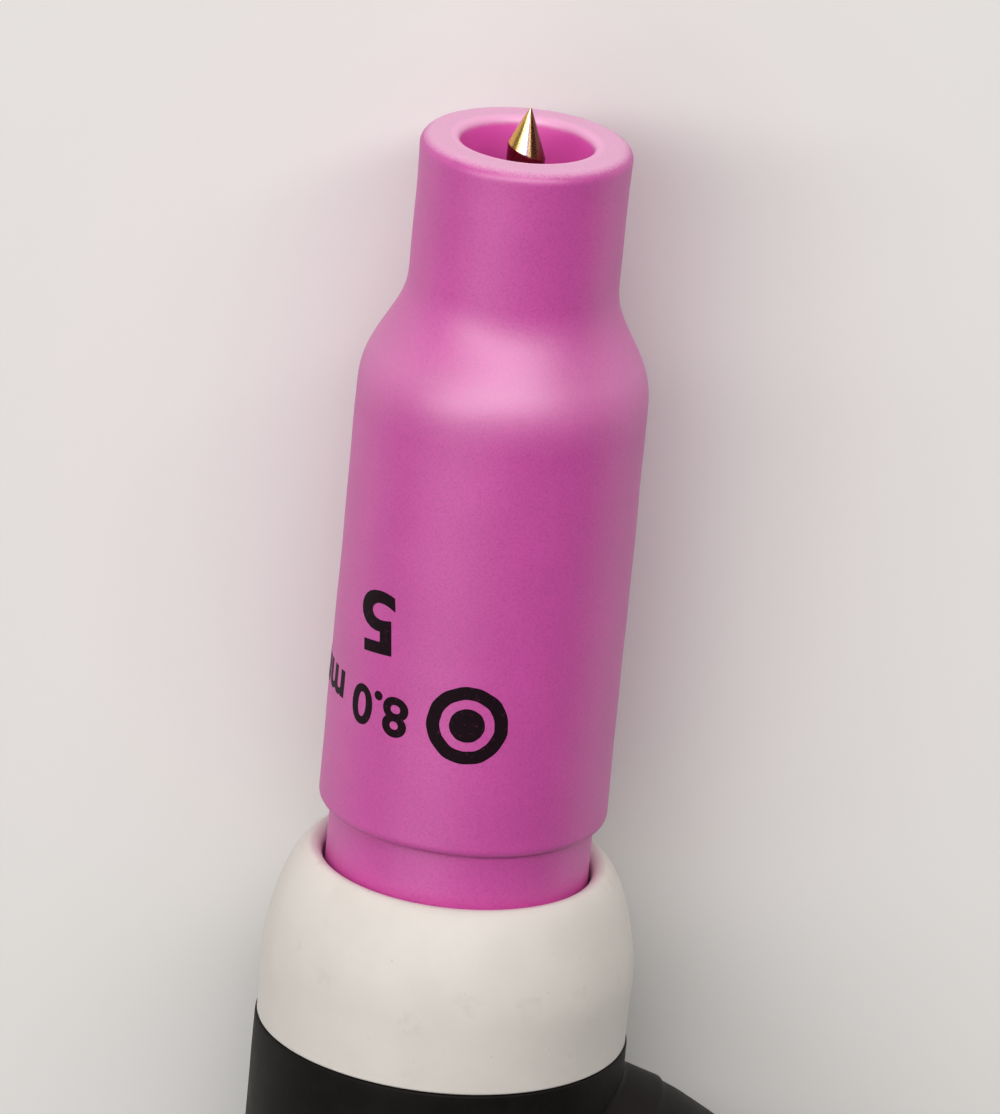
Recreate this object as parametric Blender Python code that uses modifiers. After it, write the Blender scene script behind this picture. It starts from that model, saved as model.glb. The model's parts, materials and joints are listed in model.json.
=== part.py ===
"""TIG torch, air cooled, rigid neck, lying on its side on a flat surface.

Two straight axes carry the whole torch, and both lie in one horizontal plane:
the head axis, along which the nozzle, collet and back cap are stacked, and the
handle axis, which leaves the head at the handle angle and runs along -X.
Every turned piece is a profile of (radius, station) points in millimetres.
Stations on the head axis are counted from the front face of the head, positive
towards the nozzle mouth. Stations on the handle axis are counted from the point
where it crosses the head axis, positive towards the cable.
"""

from math import cos, pi, radians, sin, sqrt

import bmesh
import bpy
from mathutils import Matrix, Vector

MM = 0.001

# Fits, in millimetres
GAP = 0.3  # between pieces that touch
SLIDING_GAP = 0.1  # electrode in its collet
SEAT_GAP = 0.2  # nozzle collar in the gasket's recess

# Head stack
HANDLE_ANGLE = 120.0  # degrees from the nozzle to the handle
BARREL_LENGTH = 34.0
BARREL_WALL = 2.8
CORE_WALL = 0.85  # brass left outside the O-ring counterbore
BOSS_HEIGHT = 3.0  # the brass core's nose, ahead of the rubber
CORE_SETBACK = 0.7  # the core's rear, ahead of the rubber's
COUNTERBORE_DEPTH = 2.4
CAP_SOCKET_DEPTH = 12.5
NECK_CROSSING = -5.5  # station where the two axes meet

# Electrode and collet
ELECTRODE_DIAMETER = 2.4
ELECTRODE_LENGTH = 175.0
ELECTRODE_STICK_OUT = 1.9
POINT_LENGTH = 2.35
POINT_FLAT_RADIUS = 0.12
COLLET_DIAMETER = 4.9
COLLET_LENGTH = 51.3
COLLET_SETBACK = 3.7  # its front, behind the collet body's
COLLET_HEAD_RIM = 0.65
COLLET_HEAD_LENGTH = 1.5
COLLET_SLOT_LENGTH = 13.0
COLLET_SLOT_WIDTH = 0.5

# Collet body
COLLET_BODY_NOSE = 41.0  # station of its front face
COLLET_BODY_REAR = -8.0
COLLET_BODY_WALL = 1.5
HEAD_THREAD_DIAMETER = 9.2
NOZZLE_THREAD_DIAMETER = 11.7
NOZZLE_THREAD_LENGTH = 10.0
FLANGE_THICKNESS = 3.6
FLANGE_RIM = 0.25
GAS_HOLE_DIAMETER = 2.0
GAS_HOLE_SETBACK = 8.0

# Nozzle
NOZZLE_LENGTH = 47.6
NOZZLE_BORE = 7.94
NOZZLE_NOSE_DIAMETER = 12.28
NOZZLE_NOSE_FLARE = 0.11
NOZZLE_NOSE_LENGTH = 8.6
SHOULDER_LENGTH = 6.8
NOZZLE_BODY_DIAMETER = 17.04
COLLAR_LENGTH = 6.0
COLLAR_WALL = 1.65
HEEL_ROUND = 0.4
RIM_ROUND = 0.5
BORE_CHAMFER = 0.45
CHAMBER_DIAMETER = 12.8

# Gasket
GASKET_LIP = 10.85  # station of the lip's crest
GASKET_SEAT = 7.6  # station of the recess floor
LIP_THICKNESS = 1.35
GASKET_FULL = 4.5  # station up to which it is as wide as the head

# Back cap
CAP_TAIL_ROOM = 1.1  # behind the electrode's tail
CAP_THREAD_REACH = 12.8  # ahead of its grip
CAP_THREAD_DIAMETER = 10.6
CAP_GRIP_DIAMETER = 16.4
CAP_GRIP_LENGTH = 12.0
CAP_ROOT_DIAMETER = 12.6
CAP_END_DIAMETER = 9.2
CAP_POCKET_DIAMETER = 4.0
CAP_END_WALL = 5.0
CAP_FLUTES = 16
FLUTE_RADIUS = 0.9
INSERT_SOCKET_DEPTH = 9.8
INSERT_BORE = 3.2
ORING_GROOVE_WIDTH = 3.3
ORING_SECTION = 1.9
ORING_DIAMETER = 11.8  # of the section's centre line

# Neck and handle
NECK_TUBE_DIAMETER = 9.5
NECK_TUBE_BORE = 6.4
STUB_WALL = 1.15
TUBE_START = 11.0
TUBE_END = 70.0
GAS_PORT_DIAMETER = 3.2
NECK_ROOT_RADIUS = 9.0
NECK_END_RADIUS = 7.0
NECK_ROOT_STATION = 9.0
SHEATH_START = 6.0
NECK_END = 44.0
NECK_TAPER_END = 34.0
NECK_COLLAR_RADIUS = 8.8
NECK_COLLAR_LENGTH = 3.0
BUSH_LENGTH = 18.0
BUSH_RADIUS = 8.0
ADAPTOR_START = 64.0
ADAPTOR_SLEEVE_RADIUS = 6.4
ADAPTOR_LENGTH = 30.0
ADAPTOR_THREAD_RADIUS = 4.75
ADAPTOR_THREAD_LENGTH = 15.0
ADAPTOR_BORE = 4.8
HEX_ACROSS_FLATS = 14.0
HEX_LENGTH = 7.0
HANDLE_LENGTH = 130.0
HANDLE_FRONT_RADIUS = 9.9
HANDLE_BORE_RADIUS = 8.8
RIB_COUNT = 10
RIB_PITCH = 8.0
RIB_GROOVE = 3.0
RIB_DEPTH = 0.9
RIB_START = 22.0  # from the handle's front face

# Roundness of the facets
COARSE = 24
MEDIUM = 32
FINE = 44

# Sizes that follow
electrodeRadius = ELECTRODE_DIAMETER / 2
colletRadius = COLLET_DIAMETER / 2
colletHeadRadius = colletRadius + COLLET_HEAD_RIM
insertRadius = colletHeadRadius - 0.1
bodyBoreRadius = colletRadius + GAP
bodyTubeRadius = bodyBoreRadius + COLLET_BODY_WALL
headThreadRadius = HEAD_THREAD_DIAMETER / 2
nozzleThreadRadius = NOZZLE_THREAD_DIAMETER / 2
nozzleMinorRadius = nozzleThreadRadius + GAP
collarRadius = nozzleMinorRadius + COLLAR_WALL
recessRadius = collarRadius + SEAT_GAP
passageRadius = colletHeadRadius + GAP
capThreadRadius = CAP_THREAD_DIAMETER / 2
socketRadius = capThreadRadius + GAP
oringOuterRadius = ORING_DIAMETER / 2 + ORING_SECTION / 2
counterboreRadius = oringOuterRadius + GAP
coreRadius = counterboreRadius + CORE_WALL
headRadius = coreRadius + GAP + BARREL_WALL
bossRadius = nozzleThreadRadius + 1.15
stubRadius = NECK_TUBE_DIAMETER / 2 + GAP + STUB_WALL
nozzleRear = GASKET_SEAT + GAP
mouth = nozzleRear + NOZZLE_LENGTH
tip = mouth + ELECTRODE_STICK_OUT
tail = tip - ELECTRODE_LENGTH
colletFront = COLLET_BODY_NOSE - COLLET_SETBACK
colletRear = colletFront - COLLET_LENGTH
capFront = -BARREL_LENGTH - GAP
capThreadFront = capFront + CAP_THREAD_REACH
insertSeat = capThreadFront - INSERT_SOCKET_DEPTH
capPocketEnd = tail - CAP_TAIL_ROOM
capEnd = capPocketEnd - CAP_END_WALL - 1
handleFront = NECK_END + GAP
handleRear = handleFront + HANDLE_LENGTH

headDirection = Vector((-cos(radians(HANDLE_ANGLE)), -sin(radians(HANDLE_ANGLE)), 0))
handleDirection = Vector((-1, 0, 0))


# Outlines


def arc(centre, radius, start, end, steps):
    """Points on a circle in the (radius, station) plane; angles in degrees from the outward radius."""
    angles = [radians(start + (end - start) * i / steps) for i in range(steps + 1)]
    return [(centre[0] + radius * cos(t), centre[1] + radius * sin(t)) for t in angles]


def smoothStep(t):
    return t * t * (3 - 2 * t)


def shoulderRadius(depth):
    """Nozzle radius at a depth below the mouth, through its nose, shoulder and body."""
    t = min(1, max(0, (depth - NOZZLE_NOSE_LENGTH) / SHOULDER_LENGTH))
    nose = NOZZLE_NOSE_DIAMETER / 2 + NOZZLE_NOSE_FLARE * max(0, 1 - depth / 3)
    return nose + (NOZZLE_BODY_DIAMETER / 2 - nose) * smoothStep(t)


def nozzleOutline():
    rim = RIM_ROUND
    body = NOZZLE_BODY_DIAMETER / 2
    step = nozzleRear + COLLAR_LENGTH
    bore = NOZZLE_BORE / 2
    chamber = CHAMBER_DIAMETER / 2
    threadEnd = GASKET_SEAT + NOZZLE_THREAD_LENGTH + 2
    points = arc((shoulderRadius(rim) - rim, mouth - rim), rim, 90, 0, 3)
    shoulder = [3.0] + [NOZZLE_NOSE_LENGTH + SHOULDER_LENGTH * i / 7 for i in range(8)]
    points += [(shoulderRadius(depth), mouth - depth) for depth in shoulder]
    points += arc((body - HEEL_ROUND, step + HEEL_ROUND), HEEL_ROUND, 0, -70, 3)
    points += [(collarRadius, step), (collarRadius, nozzleRear + 0.5)]
    points += [(collarRadius - 0.5, nozzleRear), (nozzleMinorRadius + 0.5, nozzleRear)]
    points += [(nozzleMinorRadius, nozzleRear + 0.5), (nozzleMinorRadius, threadEnd)]
    points += [(chamber, threadEnd + 0.5), (chamber, mouth - NOZZLE_NOSE_LENGTH - SHOULDER_LENGTH - 3)]
    points += [(bore, mouth - NOZZLE_NOSE_LENGTH - SHOULDER_LENGTH + 1), (bore, mouth - BORE_CHAMFER)]
    points += [(bore + BORE_CHAMFER, mouth)]
    return points


def gasketOutline():
    crest = GASKET_LIP
    lip = recessRadius + LIP_THICKNESS
    points = arc((recessRadius + 0.7, crest - 0.7), 0.7, 150, 90, 2)
    shoulder = lip + 0.35
    points += [(lip, crest - 0.25), (shoulder, crest - 1.0)]
    drop = crest - 1.0 - GASKET_FULL
    for i in range(1, 5):
        swell = sin(pi / 2 * i / 4)
        points.append((shoulder + (headRadius - shoulder) * swell, crest - 1.0 - drop * i / 4))
    points += [(headRadius, GAP / 2), (bossRadius + GAP, GAP / 2)]
    hole = nozzleThreadRadius + FLANGE_RIM + GAP
    points += [(bossRadius + GAP, BOSS_HEIGHT + GAP), (hole, BOSS_HEIGHT + GAP)]
    points += [(hole, GASKET_SEAT), (recessRadius, GASKET_SEAT)]
    return points


def electrodeOutline():
    return [
        (0, tip),
        (POINT_FLAT_RADIUS, tip),
        (electrodeRadius, tip - POINT_LENGTH),
        (electrodeRadius, tail + 0.2),
        (electrodeRadius - 0.2, tail),
        (0, tail),
    ]


def colletOutline():
    bore = electrodeRadius + SLIDING_GAP
    return [
        (bore, colletFront),
        (colletRadius - 0.7, colletFront),
        (colletRadius, colletFront - 1.4),
        (colletRadius, colletRear + COLLET_HEAD_LENGTH),
        (colletHeadRadius, colletRear + COLLET_HEAD_LENGTH - 0.3),
        (colletHeadRadius, colletRear + 0.3),
        (colletHeadRadius - 0.3, colletRear),
        (bore, colletRear),
    ]


def colletBodyOutline():
    front = COLLET_BODY_NOSE
    seat = BOSS_HEIGHT + GAP
    flange = seat + FLANGE_THICKNESS
    threadEnd = GASKET_SEAT + NOZZLE_THREAD_LENGTH
    hole = electrodeRadius + 0.2
    return [
        (hole, front),
        (hole + 0.9, front),
        (bodyTubeRadius, front - 5),
        (bodyTubeRadius, threadEnd + 1.2),
        (nozzleThreadRadius - 0.8, threadEnd + 1.2),
        (nozzleThreadRadius, threadEnd),
        (nozzleThreadRadius, flange),
        (nozzleThreadRadius + FLANGE_RIM, flange),
        (nozzleThreadRadius + FLANGE_RIM, seat),
        (headThreadRadius, seat),
        (headThreadRadius, COLLET_BODY_REAR + 0.8),
        (headThreadRadius - 0.8, COLLET_BODY_REAR),
        (bodyBoreRadius, COLLET_BODY_REAR),
        (bodyBoreRadius, front - 4.5),
        (hole, front - 1.5),
    ]


def coreOutline():
    front = BOSS_HEIGHT
    rear = GAP + CORE_SETBACK - BARREL_LENGTH
    ledge = rear + COUNTERBORE_DEPTH
    socketEnd = rear + CAP_SOCKET_DEPTH
    threadEnd = COLLET_BODY_REAR - 0.7
    return [
        (headThreadRadius + GAP + 0.5, front),
        (bossRadius - 0.4, front),
        (bossRadius, front - 0.4),
        (bossRadius, -1.5),
        (coreRadius, -1.5),
        (coreRadius, rear),
        (counterboreRadius, rear),
        (counterboreRadius, ledge),
        (socketRadius, ledge),
        (socketRadius, socketEnd),
        (passageRadius, socketEnd + 1),
        (passageRadius, threadEnd),
        (headThreadRadius + GAP, threadEnd),
        (headThreadRadius + GAP, front - 0.5),
    ]


def capOutline():
    thread = capThreadRadius
    groove = ORING_DIAMETER / 2 - ORING_SECTION / 2 - GAP
    grooveFront = capFront + ORING_GROOVE_WIDTH
    grip = CAP_GRIP_DIAMETER / 2
    gripEnd = capFront - CAP_GRIP_LENGTH
    pocket = CAP_POCKET_DIAMETER / 2
    insertBore = insertRadius + GAP
    root = CAP_ROOT_DIAMETER / 2
    end = CAP_END_DIAMETER / 2
    points = [(insertBore, capThreadFront), (thread - 0.5, capThreadFront), (thread, capThreadFront - 0.5)]
    points += [(thread, grooveFront), (groove, grooveFront), (groove, capFront)]
    points += [(grip - 0.6, capFront), (grip, capFront - 0.6), (grip, gripEnd + 0.6)]
    points += [(grip - 0.6, gripEnd), (root, gripEnd - 1.5)]
    points += arc((end - 3, capEnd + 3), 3, 0, -90, 4)
    points += [(0, capEnd), (0, capEnd + CAP_END_WALL), (pocket, capPocketEnd)]
    points += [(pocket, insertSeat), (insertBore, insertSeat)]
    return points


def insertOutline():
    bore = INSERT_BORE / 2
    front = colletRear - GAP
    rear = insertSeat + GAP
    return [
        (bore, front),
        (insertRadius - 0.3, front),
        (insertRadius, front - 0.3),
        (insertRadius, rear),
        (bore, rear),
    ]


def sheathOutline():
    return [
        (0, NECK_END),
        (NECK_COLLAR_RADIUS, NECK_END),
        (NECK_COLLAR_RADIUS, NECK_END - NECK_COLLAR_LENGTH),
        (NECK_END_RADIUS, NECK_END - NECK_COLLAR_LENGTH - 1.5),
        (NECK_END_RADIUS, NECK_TAPER_END),
        (NECK_ROOT_RADIUS, NECK_ROOT_STATION),
        (NECK_ROOT_RADIUS, SHEATH_START),
        (0, SHEATH_START),
    ]


def barrelOutline():
    rear = -BARREL_LENGTH
    points = [(0, -GAP / 2), (headRadius, -GAP / 2)]
    points += arc((headRadius - 1.6, rear + 1.2), 1.2, 0, -90, 3)
    return points + [(0, rear)]


def barrelHollow():
    """The space that the brass core fills, open at both ends of the barrel."""
    rear = -BARREL_LENGTH
    mouthRadius = oringOuterRadius + 0.5
    room = coreRadius + GAP
    return [
        (0, 2),
        (bossRadius + GAP, 2),
        (bossRadius + GAP, GAP - 1.5),
        (room, GAP - 1.5),
        (room, rear + CORE_SETBACK),
        (mouthRadius, rear + CORE_SETBACK),
        (mouthRadius, rear - 2),
        (0, rear - 2),
    ]


def neckHollow():
    """The space for the core's stub and the tube beyond it."""
    stubEnd = TUBE_START + 6 + GAP
    room = stubRadius + GAP
    tubeRoom = NECK_TUBE_DIAMETER / 2 + GAP
    return [
        (0, NECK_END + 2),
        (tubeRoom, NECK_END + 2),
        (tubeRoom, stubEnd),
        (room, stubEnd),
        (room, 1),
        (0, 1),
    ]


def ribbedLine():
    """The handle's outer line: a tapered front, ring grooves, and a rounded rear."""
    points = [(HANDLE_FRONT_RADIUS, handleFront), (headRadius, handleFront + 12)]
    for rib in range(RIB_COUNT):
        station = handleFront + RIB_START + RIB_PITCH * rib
        points += [(headRadius, station), (headRadius - RIB_DEPTH, station + 0.7)]
        points += [(headRadius - RIB_DEPTH, station + RIB_GROOVE - 0.7), (headRadius, station + RIB_GROOVE)]
    points += [(headRadius, handleRear - 1.0), (headRadius - 0.8, handleRear)]
    return points


def handleOutline():
    threadRoom = BUSH_RADIUS + GAP
    threadEnd = handleFront + BUSH_LENGTH + 1
    outer = list(reversed(ribbedLine()))
    inner = [(threadRoom, handleFront), (threadRoom, threadEnd)]
    inner += [(HANDLE_BORE_RADIUS, threadEnd + 1), (HANDLE_BORE_RADIUS, handleRear)]
    return outer + inner


def adaptorOutline():
    sleeve = ADAPTOR_SLEEVE_RADIUS
    socket = NECK_TUBE_DIAMETER / 2 + GAP
    end = ADAPTOR_START + ADAPTOR_LENGTH
    threadStart = end - ADAPTOR_THREAD_LENGTH
    thread = ADAPTOR_THREAD_RADIUS
    bore = ADAPTOR_BORE / 2
    return [
        (bore, end),
        (thread - 0.4, end),
        (thread, end - 0.6),
        (thread, threadStart + 1.2),
        (thread - 0.6, threadStart + 1.2),
        (thread - 0.6, threadStart),
        (sleeve, threadStart),
        (sleeve, ADAPTOR_START),
        (socket, ADAPTOR_START),
        (socket, TUBE_END + GAP),
        (bore, TUBE_END + GAP),
    ]


def ringOutline(inner, outer, front, rear):
    return [(inner, front), (outer, front), (outer, rear), (inner, rear)]


def reach(outline, slope):
    """How far a turned outline reaches in a direction whose cosine to the axis is the slope."""
    return max(station * slope + radius * sqrt(1 - slope * slope) for radius, station in outline)


# Scene and placing


def newCollection(name, hidden):
    collection = bpy.data.collections.new(name)
    bpy.context.scene.collection.children.link(collection)
    collection.hide_render = hidden
    return collection


def paint(name, colour, roughness, metallic):
    material = bpy.data.materials.new(name)
    material.use_nodes = True
    shader = material.node_tree.nodes["Principled BSDF"]
    shader.inputs["Base Color"].default_value = (*colour, 1)
    shader.inputs["Roughness"].default_value = roughness
    shader.inputs["Metallic"].default_value = metallic
    material.diffuse_color = (*colour, 1)
    return material


def placeAxis(name, origin, direction):
    """An empty whose Z runs along the direction, with its Y straight up."""
    up = Vector((0, 0, 1))
    side = up.cross(direction)
    empty = bpy.data.objects.new(name, None)
    empty.location = origin
    empty.rotation_euler = Matrix((side, up, direction)).transposed().to_euler()
    empty.empty_display_size = 0.02
    assembly.objects.link(empty)
    return empty


def addObject(name, mesh, parent, material=None):
    obj = bpy.data.objects.new(name, mesh)
    obj.parent = parent
    if material is None:
        cutters.objects.link(obj)
        obj.hide_render = True
        obj.display_type = "WIRE"
    else:
        assembly.objects.link(obj)
        mesh.materials.append(material)
    return obj


def turned(name, outline, parent, material=None, steps=FINE):
    """A closed outline of (radius, station) points turned about its parent's Z."""
    mesh = bpy.data.meshes.new(name)
    count = len(outline)
    corners = [(radius * MM, 0, station * MM) for radius, station in outline]
    openEnded = outline[0][0] == 0 and outline[-1][0] == 0
    edges = [(i, i + 1) for i in range(count - 1)]
    if not openEnded:
        edges.append((count - 1, 0))
    mesh.from_pydata(corners, edges, [])
    obj = addObject(name, mesh, parent, material)
    screw = obj.modifiers.new("Turn", "SCREW")
    screw.axis = "Z"
    screw.angle = 2 * pi
    screw.steps = steps
    screw.render_steps = steps
    screw.use_merge_vertices = True
    screw.merge_threshold = 0.00001
    return obj


def rod(name, parent, radius, length, place, steps=COARSE):
    """A cylinder about its own Z, moved into its parent's frame by a matrix in millimetres."""
    mesh = bpy.data.meshes.new(name)
    work = bmesh.new()
    bmesh.ops.create_cone(
        work, cap_ends=True, segments=steps, radius1=radius * MM, radius2=radius * MM, depth=length * MM
    )
    work.to_mesh(mesh)
    work.free()
    obj = addObject(name, mesh, parent)
    obj.matrix_local = Matrix.Translation(place.to_translation() * MM) @ place.to_3x3().to_4x4()
    return obj


def block(name, parent, size, centre, turn=0.0):
    mesh = bpy.data.meshes.new(name)
    work = bmesh.new()
    stretch = Matrix.Diagonal((size[0] * MM, size[1] * MM, size[2] * MM, 1))
    bmesh.ops.create_cube(work, size=1, matrix=stretch)
    work.to_mesh(mesh)
    work.free()
    obj = addObject(name, mesh, parent)
    obj.location = Vector(centre) * MM
    obj.rotation_euler = (0, 0, turn)
    return obj


def combine(target, tool, operation):
    boolean = target.modifiers.new(tool.name, "BOOLEAN")
    boolean.operation = operation
    boolean.object = tool
    boolean.solver = "EXACT"


def settle(obj):
    """Turns the modifiers into the object's own mesh and shades it smooth between its sharp edges."""
    graph = bpy.context.evaluated_depsgraph_get()
    mesh = bpy.data.meshes.new_from_object(obj.evaluated_get(graph))
    obj.modifiers.clear()
    obj.data = mesh
    mesh.name = obj.name
    mesh.shade_smooth()
    mesh.set_sharp_from_angle(angle=radians(32))


# Pieces


def makeNozzle():
    pink = paint("pink_alumina", (0.62, 0.13, 0.40), 0.6, 0.0)
    turned("alumina_nozzle", nozzleOutline(), headAxis, pink)


def makeGasket():
    white = paint("white_ptfe", (0.78, 0.73, 0.66), 0.55, 0.0)
    turned("cup_gasket", gasketOutline(), headAxis, white)


def makeElectrode():
    tungsten = paint("ground_tungsten", (0.42, 0.36, 0.32), 0.3, 1.0)
    turned("tungsten_electrode", electrodeOutline(), headAxis, tungsten, COARSE)


def makeCollet():
    copper = paint("bright_copper", (0.72, 0.36, 0.22), 0.35, 1.0)
    collet = turned("collet", colletOutline(), headAxis, copper, COARSE)
    slotFront = colletFront + 1
    middle = slotFront - (COLLET_SLOT_LENGTH + 1) / 2
    size = (COLLET_SLOT_WIDTH, COLLET_DIAMETER + 2, COLLET_SLOT_LENGTH + 1)
    for side, turn in enumerate((0.0, pi / 2)):
        slot = block(f"collet_slot_{side + 1}", headAxis, size, (0, 0, middle), turn)
        combine(collet, slot, "DIFFERENCE")


def makeColletBody():
    copper = paint("turned_copper", (0.66, 0.34, 0.20), 0.4, 1.0)
    body = turned("collet_body", colletBodyOutline(), headAxis, copper, MEDIUM)
    station = COLLET_BODY_NOSE - GAS_HOLE_SETBACK
    for side in range(2):
        across = Matrix.Translation((0, 0, station)) @ Matrix.Rotation(pi / 4 + side * pi / 2, 4, "Z")
        across = across @ Matrix.Rotation(pi / 2, 4, "Y")
        hole = rod(f"gas_hole_{side + 1}", headAxis, GAS_HOLE_DIAMETER / 2, 4 * bodyTubeRadius, across, 12)
        combine(body, hole, "DIFFERENCE")


def makeCore():
    brass = paint("machined_brass", (0.72, 0.52, 0.22), 0.35, 1.0)
    core = turned("head_core", coreOutline(), headAxis, brass, MEDIUM)
    stub = turned("core_stub", ringOutline(0, stubRadius, TUBE_START + 6, 5.6), handleAxis, None, MEDIUM)
    stubBore = rod(
        "core_bore",
        headAxis,
        passageRadius + 0.2,
        BARREL_LENGTH,
        Matrix.Translation((0, 0, -BARREL_LENGTH / 2)),
        MEDIUM,
    )
    socket = turned(
        "tube_socket",
        ringOutline(0, NECK_TUBE_DIAMETER / 2 + GAP, TUBE_START + 8, TUBE_START),
        handleAxis,
        None,
        MEDIUM,
    )
    lean = radians(HANDLE_ANGLE - 90)
    portLength = TUBE_START * cos(lean) + 2
    portStation = NECK_CROSSING - TUBE_START * sin(lean)
    across = Matrix.Translation((-portLength / 2, 0, portStation)) @ Matrix.Rotation(pi / 2, 4, "Y")
    port = rod("gas_port", headAxis, GAS_PORT_DIAMETER / 2, portLength, across, 12)
    combine(stub, stubBore, "DIFFERENCE")
    combine(core, stub, "UNION")
    combine(core, socket, "DIFFERENCE")
    combine(core, port, "DIFFERENCE")


def makeCover():
    black = paint("black_silicone_rubber", (0.03, 0.025, 0.022), 0.65, 0.0)
    cover = turned("head_cover", barrelOutline(), headAxis, black)
    sheath = turned("neck_sheath", sheathOutline(), handleAxis)
    hollow = turned("barrel_hollow", barrelHollow(), headAxis, None, MEDIUM)
    neckRoom = turned("neck_hollow", neckHollow(), handleAxis, None, MEDIUM)
    combine(cover, sheath, "UNION")
    combine(cover, hollow, "DIFFERENCE")
    combine(cover, neckRoom, "DIFFERENCE")


def makeNeckTube():
    copper = paint("drawn_copper", (0.64, 0.33, 0.20), 0.4, 1.0)
    outline = ringOutline(NECK_TUBE_BORE / 2, NECK_TUBE_DIAMETER / 2, TUBE_END, TUBE_START + GAP)
    turned("neck_tube", outline, handleAxis, copper, MEDIUM)


def makeBush():
    nylon = paint("black_nylon", (0.03, 0.03, 0.03), 0.5, 0.0)
    inner = NECK_TUBE_DIAMETER / 2 + GAP
    outline = ringOutline(inner, BUSH_RADIUS, handleFront + BUSH_LENGTH, NECK_END + GAP)
    turned("handle_thread_bush", outline, handleAxis, nylon, MEDIUM)


def makeAdaptor():
    brass = paint("plated_brass", (0.75, 0.56, 0.26), 0.3, 1.0)
    adaptor = turned("cable_adaptor", adaptorOutline(), handleAxis, brass, MEDIUM)
    hexRadius = HEX_ACROSS_FLATS / 2 / cos(pi / 6)
    hexFront = ADAPTOR_START + ADAPTOR_LENGTH - ADAPTOR_THREAD_LENGTH - HEX_LENGTH - 1
    outline = ringOutline(ADAPTOR_SLEEVE_RADIUS - 0.8, hexRadius, hexFront + HEX_LENGTH, hexFront)
    nut = turned("adaptor_hex", outline, handleAxis, None, 6)
    combine(adaptor, nut, "UNION")


def makeHandle():
    black = paint("ribbed_handle_black", (0.025, 0.025, 0.025), 0.55, 0.0)
    turned("handle", handleOutline(), handleAxis, black, MEDIUM)


def makeCap():
    phenolic = paint("black_phenolic", (0.02, 0.02, 0.02), 0.3, 0.0)
    cap = turned("back_cap", capOutline(), headAxis, phenolic)
    grip = CAP_GRIP_DIAMETER / 2
    middle = capFront - CAP_GRIP_LENGTH / 2
    for flute in range(CAP_FLUTES):
        angle = 2 * pi * (flute + 0.5) / CAP_FLUTES
        centre = (grip * 1.02 * cos(angle), grip * 1.02 * sin(angle), middle)
        name = f"flute_{flute + 1}"
        groove = rod(name, headAxis, FLUTE_RADIUS, CAP_GRIP_LENGTH + 6, Matrix.Translation(centre), 8)
        combine(cap, groove, "DIFFERENCE")


def makeInsert():
    brass = paint("insert_brass", (0.74, 0.55, 0.25), 0.3, 1.0)
    turned("back_cap_insert", insertOutline(), headAxis, brass, COARSE)


def makeOring():
    rubber = paint("oring_rubber", (0.05, 0.045, 0.04), 0.6, 0.0)
    radius = ORING_SECTION / 2
    centre = (ORING_DIAMETER / 2, capFront + ORING_GROOVE_WIDTH / 2 + 0.1)
    turned("back_cap_oring", arc(centre, radius, 180, -150, 11), headAxis, rubber, MEDIUM)


for leftover in list(bpy.data.objects):
    bpy.data.objects.remove(leftover)

assembly = newCollection("tig_torch", False)
cutters = newCollection("cutters", True)

# The origin is under the middle of the torch: what reaches furthest each way is found from the outlines
frontReach = reach(nozzleOutline(), headDirection.x)
mouthReach = reach(nozzleOutline(), -headDirection.y)
capReach = reach(capOutline(), headDirection.y)
rearReach = handleRear - NECK_CROSSING * headDirection.x
headPlace = Vector(((rearReach - frontReach) / 2, (mouthReach - capReach) / 2, headRadius)) * MM
crossing = headPlace + headDirection * NECK_CROSSING * MM

headAxis = placeAxis("head_axis", headPlace, headDirection)
handleAxis = placeAxis("handle_axis", crossing, handleDirection)
bpy.context.view_layer.update()

makeNozzle()
makeGasket()
makeElectrode()
makeCollet()
makeColletBody()
makeCore()
makeCover()
makeNeckTube()
makeBush()
makeAdaptor()
makeHandle()
makeCap()
makeInsert()
makeOring()

bpy.context.view_layer.update()
for piece in [obj for obj in assembly.objects if obj.type == "MESH"]:
    settle(piece)
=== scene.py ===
import json

import bmesh
import bpy
import numpy as np
from mathutils import Matrix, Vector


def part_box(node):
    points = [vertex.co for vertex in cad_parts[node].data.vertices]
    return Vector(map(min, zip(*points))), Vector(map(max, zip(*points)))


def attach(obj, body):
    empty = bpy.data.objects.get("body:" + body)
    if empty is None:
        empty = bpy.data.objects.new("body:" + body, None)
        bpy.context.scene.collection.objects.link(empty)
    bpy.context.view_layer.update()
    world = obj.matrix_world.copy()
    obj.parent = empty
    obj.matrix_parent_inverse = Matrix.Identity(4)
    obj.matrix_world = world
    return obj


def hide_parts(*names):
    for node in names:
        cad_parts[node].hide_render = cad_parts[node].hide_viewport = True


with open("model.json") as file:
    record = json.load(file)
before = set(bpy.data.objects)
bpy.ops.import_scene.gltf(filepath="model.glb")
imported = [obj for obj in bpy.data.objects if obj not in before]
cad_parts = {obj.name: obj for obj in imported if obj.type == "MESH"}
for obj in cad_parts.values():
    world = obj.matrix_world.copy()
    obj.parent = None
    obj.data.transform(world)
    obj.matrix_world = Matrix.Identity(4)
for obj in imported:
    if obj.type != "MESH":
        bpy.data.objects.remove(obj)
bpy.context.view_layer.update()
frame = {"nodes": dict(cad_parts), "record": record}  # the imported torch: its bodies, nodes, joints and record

mm = 0.001


# The two axes that every piece is turned about, in the frame's own metres

def unit(vector):
    return vector / np.linalg.norm(vector)


def axisAlong(origin, along, hand):
    # hand is 1 or -1 and chooses the side that angles go towards, from straight up
    up = np.array((0.0, 0.0, 1.0))
    return {"origin": origin, "along": along, "up": up, "side": hand * np.cross(up, along)}


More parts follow.
